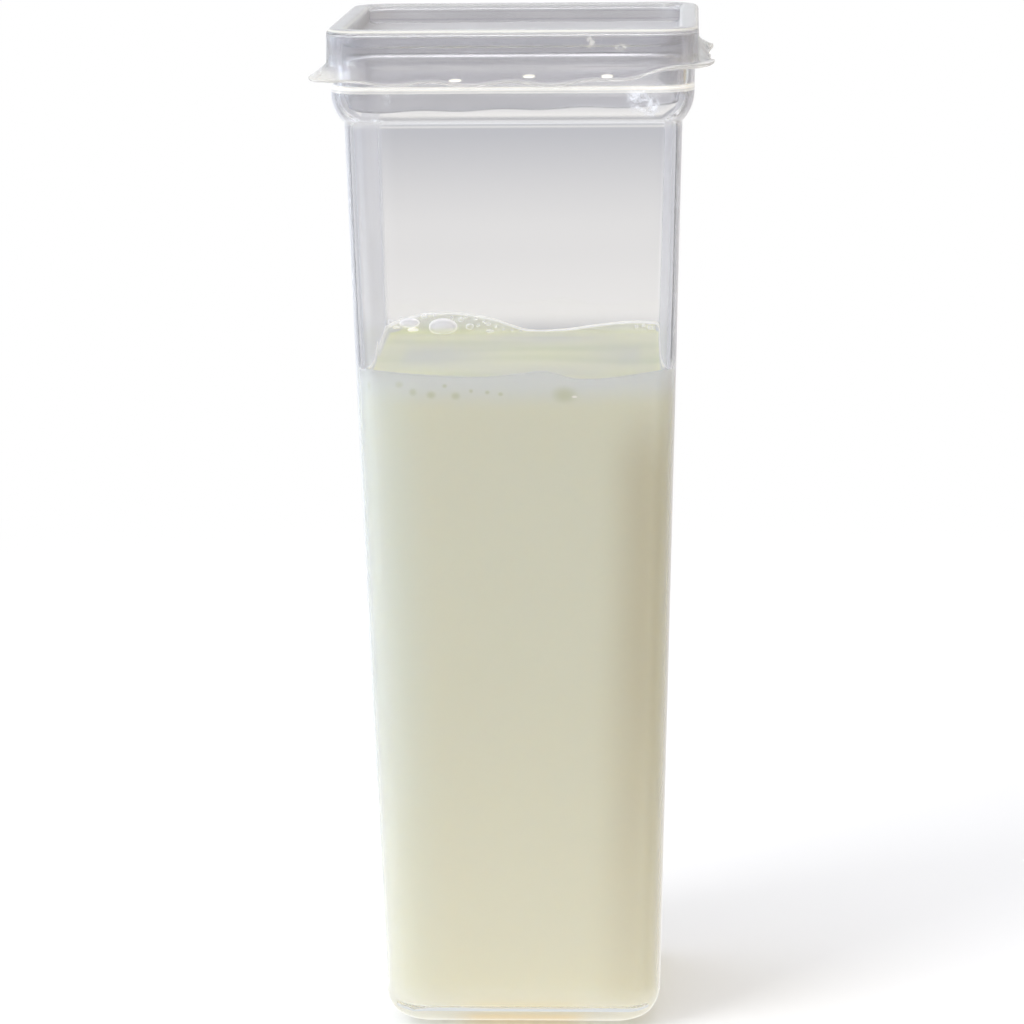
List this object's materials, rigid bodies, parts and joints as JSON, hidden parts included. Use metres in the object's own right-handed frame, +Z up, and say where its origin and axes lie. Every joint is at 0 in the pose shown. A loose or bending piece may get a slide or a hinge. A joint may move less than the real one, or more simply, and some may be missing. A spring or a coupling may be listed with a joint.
{
  "type": "square jar of milk",
  "caption": "Tall tapered square jar of clear plastic with a stepped collar, shut by a soft press-on lid with a wavy lip, about two thirds full of milk.",
  "frame": {"origin": "centre of the foot, on the surface that the jar stands on", "axes": "+Z up along the jar, -Y is the front that the picture shows, +X to the right"},
  "size_m": [0.1132, 0.1132, 0.295],
  "materials": {
    "clear_plastic": "clear moulded plastic, smooth and glossy",
    "soft_plastic": "soft translucent plastic, slightly hazy",
    "milk": "whole milk, creamy white, wet surface"
  },
  "bodies": {
    "root": {"jar": "clear_plastic", "lid": "soft_plastic", "milk": "milk"}
  },
  "joints": []
}
